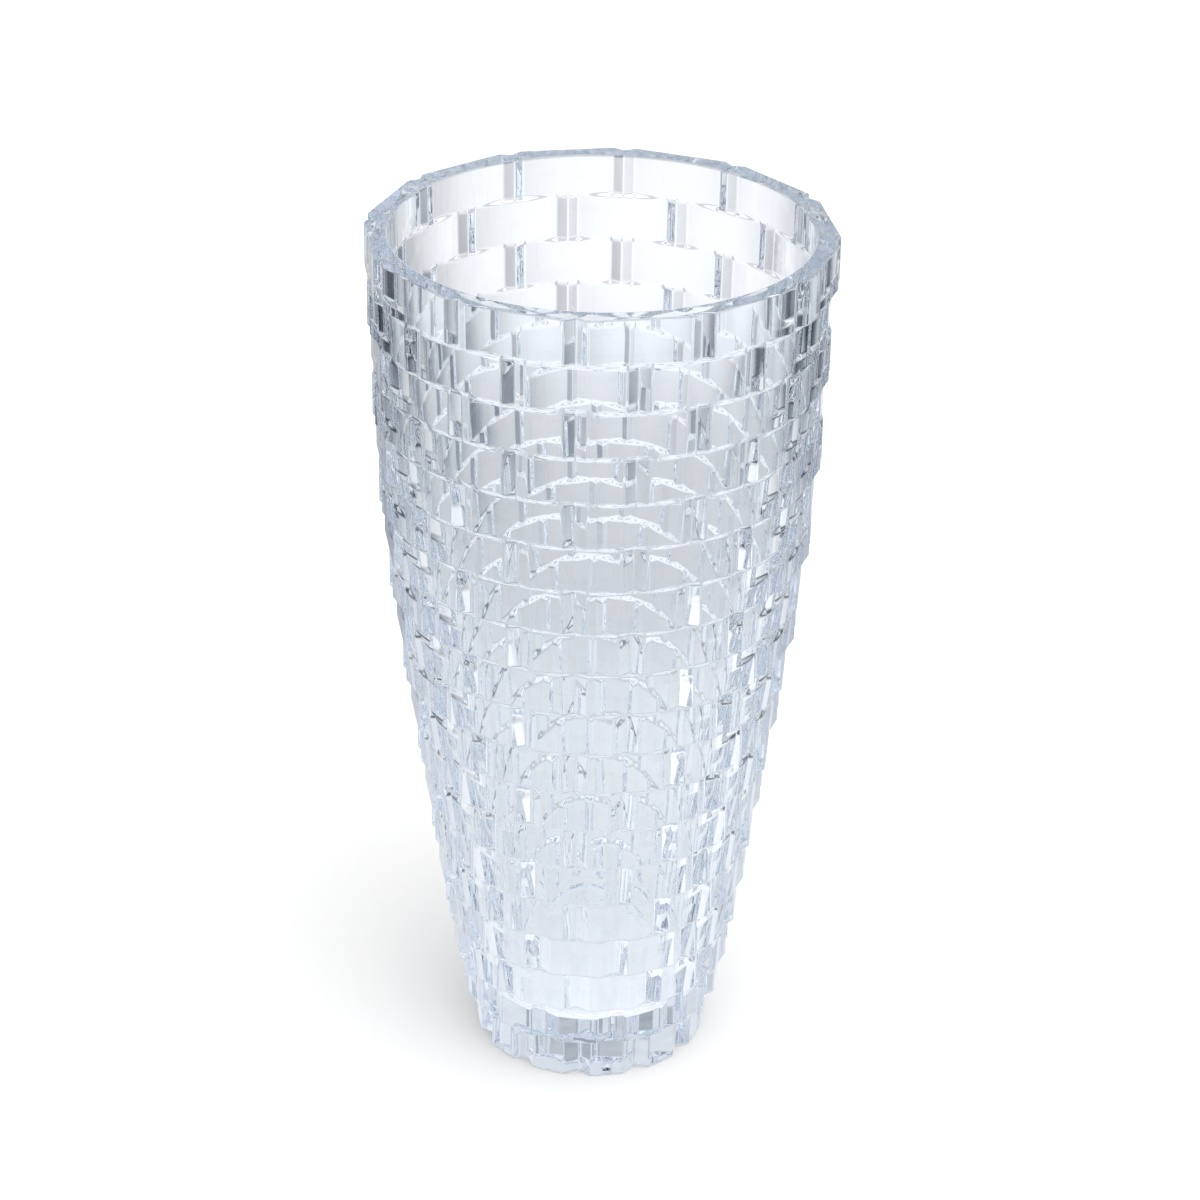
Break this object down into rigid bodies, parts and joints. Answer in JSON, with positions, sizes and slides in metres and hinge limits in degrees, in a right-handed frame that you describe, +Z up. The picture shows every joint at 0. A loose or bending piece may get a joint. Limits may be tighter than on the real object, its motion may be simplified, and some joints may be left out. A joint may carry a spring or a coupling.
{
  "type": "vase",
  "caption": "Tall round tapering vase of clear crystal glass, its outside cut as courses of flat blocks laid like brickwork, with a plain bore and a thick base.",
  "frame": {"origin": "centre of the foot's flat underside, where the vase stands", "axes": "+Z up the vase's axis to the mouth; +X and +Y each run through a groove of the top course"},
  "size_m": [0.1532, 0.1532, 0.3],
  "materials": {
    "crystal": "clear crystal glass with a faint cool tint, fire-polished outside and in, the rim's flat top ground and polished"
  },
  "bodies": {
    "root": {"crystal_vase": "crystal"}
  },
  "joints": []
}
